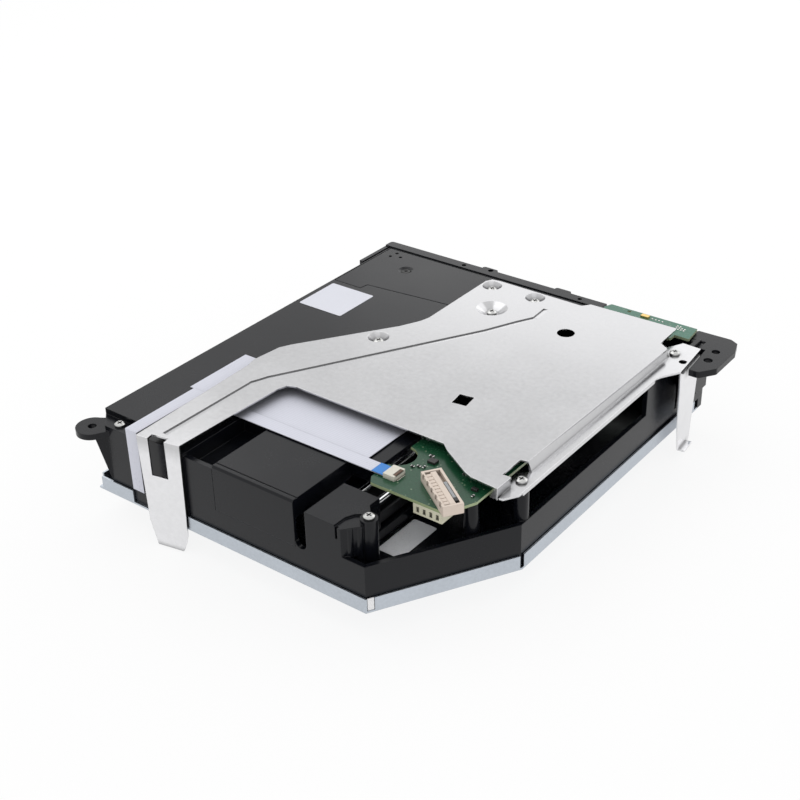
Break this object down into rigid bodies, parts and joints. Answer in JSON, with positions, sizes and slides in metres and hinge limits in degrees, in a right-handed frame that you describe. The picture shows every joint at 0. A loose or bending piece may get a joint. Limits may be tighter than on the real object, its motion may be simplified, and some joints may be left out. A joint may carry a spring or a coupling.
{
  "type": "console optical drive",
  "caption": "Slot-loading optical disc drive with shielded control board, lifting laser deck, sliding pickup, feed roller and disc clamp, for a compact game console.",
  "frame": {"origin": "disc axis at the outer face of the sheet-metal cover", "axes": "+X to the side with the shield's lowered lip, +Y towards the disc slot, +Z from the cover towards the shield bracket"},
  "size_m": [0.185, 0.2049, 0.0485],
  "materials": {
    "galvanised_steel": "galvanised sheet, satin",
    "bright_zinc": "bright zinc plate, lightly brushed",
    "black_plastic": "fine moulded texture, semi-gloss edges",
    "white_plastic": "smooth moulded",
    "board_green": "solder mask, semi-gloss",
    "rear_board_green": "solder mask, semi-gloss",
    "chip_black": "moulded epoxy",
    "gold_contact": "gold flash",
    "cream_plastic": "glass-filled nylon",
    "ribbon_white": "laminated film",
    "blue_film": "stiff film",
    "label_white": "plain paper",
    "label_grey": "plain film",
    "felt_black": "short-pile felt",
    "screw_steel": "bright zinc",
    "screw_black": "black oxide",
    "rubber_grey": "soft",
    "rod_steel": "polished",
    "motor_steel": "plated can",
    "deck_steel": "stamped sheet",
    "die_cast": "as cast",
    "lens_glass": "coated",
    "gear_plastic": "acetal",
    "brass_gear": "machined",
    "magnet": "nickel plate",
    "spring_steel": "wire"
  },
  "bodies": {
    "drive_body": {"top_cover": "galvanised_steel", "main_chassis": "black_plastic", "slot_bezel": "black_plastic", "loading_cover": "black_plastic", "pickup_cover": "black_plastic", "shield_bracket": "bright_zinc", "main_board": "board_green", "board_parts": "chip_black", "small_cable_socket": "cream_plastic", "large_cable_socket": "cream_plastic", "motor_socket": "cream_plastic", "ribbon_socket": "cream_plastic", "rear_board": "rear_board_green", "rear_board_parts": "gold_contact", "board_cable": "ribbon_white", "cable_stiffener": "blue_film", "pickup_cable": "ribbon_white", "deck_label": "label_white", "floor_label": "label_grey", "slot_felts": "felt_black", "shield_screws": "screw_steel", "chassis_screws": "screw_steel", "lid_screw": "screw_black", "board_screws": "screw_steel", "gear_axles": "rod_steel", "loading_motor": "motor_steel", "roller_bushes": "gear_plastic", "clamp_ring": "white_plastic", "lever_pivots": "rod_steel", "lever_springs": "spring_steel"},
    "lift": {"lift_frame": "white_plastic", "laser_deck": "deck_steel", "rubber_dampers": "rubber_grey", "damper_screws": "screw_steel", "spindle_motor": "motor_steel", "guide_rods": "rod_steel", "sled_motor": "motor_steel"},
    "spindle": {"turntable": "black_plastic", "turntable_pad": "rubber_grey"},
    "pickup": {"pickup_carriage": "die_cast"},
    "lens": {"lens_holder": "chip_black", "objective_lens": "lens_glass"},
    "sled_screw": {"lead_screw": "rod_steel"},
    "slider": {"cam_slider": "gear_plastic"},
    "roller": {"roller_shaft": "rod_steel", "roller_sleeves": "rubber_grey", "roller_gear": "gear_plastic"},
    "idler": {"idler_gear": "gear_plastic"},
    "pinion": {"motor_pinion": "brass_gear"},
    "cam_drive": {"cam_gear": "gear_plastic"},
    "clamp": {"clamp_puck": "white_plastic", "clamp_magnet": "magnet"},
    "lever_left": {"left_disc_lever": "gear_plastic"},
    "lever_right": {"right_disc_lever": "gear_plastic"}
  },
  "joints": [
    {"name": "deck_lift", "type": "hinge", "parent": "drive_body", "child": "lift", "pos_m": [0, -0.088, 0.013], "axis": [1, 0, 0], "range_deg": [0, 3.5]},
    {"name": "disc_spin", "type": "hinge", "parent": "lift", "child": "spindle", "pos_m": [0, 0, 0.0064], "axis": [0, 0, 1], "continuous": true},
    {"name": "pickup_slide", "type": "slide", "parent": "lift", "child": "pickup", "axis": [0, -1, 0], "range_m": [0, 0.034]},
    {"name": "lens_focus", "type": "slide", "parent": "pickup", "child": "lens", "axis": [0, 0, 1], "range_m": [-0.0004, 0.0004], "stiffness_N_per_m": 60},
    {"name": "sled_screw_turn", "type": "hinge", "parent": "lift", "child": "sled_screw", "pos_m": [0.033, -0.05, 0.021], "axis": [0, 1, 0], "range_deg": [0, 4080]},
    {"name": "cam_slide", "type": "slide", "parent": "drive_body", "child": "slider", "axis": [0, 1, 0], "range_m": [-0.012, 0]},
    {"name": "roller_spin", "type": "hinge", "parent": "drive_body", "child": "roller", "pos_m": [0, 0.076, 0.0104], "axis": [1, 0, 0], "continuous": true},
    {"name": "idler_spin", "type": "hinge", "parent": "drive_body", "child": "idler", "pos_m": [-0.0715, 0.06442, 0.02086], "axis": [1, 0, 0], "continuous": true},
    {"name": "pinion_spin", "type": "hinge", "parent": "drive_body", "child": "pinion", "pos_m": [-0.0715, 0.0525, 0.0195], "axis": [1, 0, 0], "continuous": true},
    {"name": "cam_gear_spin", "type": "hinge", "parent": "drive_body", "child": "cam_drive", "pos_m": [-0.0715, 0.04174, 0.01856], "axis": [1, 0, 0], "continuous": true},
    {"name": "clamp_rise", "type": "slide", "parent": "drive_body", "child": "clamp", "axis": [0, 0, 1], "range_m": [0, 0.0003]},
    {"name": "left_lever_swing", "type": "hinge", "parent": "drive_body", "child": "lever_left", "pos_m": [-0.072, 0.034, 0.006], "axis": [0, 0, 1], "range_deg": [0, 20], "stiffness_Nm_per_rad": 0.02},
    {"name": "right_lever_swing", "type": "hinge", "parent": "drive_body", "child": "lever_right", "pos_m": [0.072, 0.034, 0.006], "axis": [0, 0, -1], "range_deg": [0, 20], "stiffness_Nm_per_rad": 0.02}
  ],
  "couplings": [
    {"joint": "cam_slide", "follows": "deck_lift", "m_per_rad": -0.19644},
    {"joint": "sled_screw_turn", "follows": "pickup_slide", "rad_per_m": 2094.4},
    {"joint": "idler_spin", "follows": "roller_spin", "ratio": -0.85714},
    {"joint": "pinion_spin", "follows": "roller_spin", "ratio": 2},
    {"joint": "cam_gear_spin", "follows": "roller_spin", "ratio": -1}
  ]
}
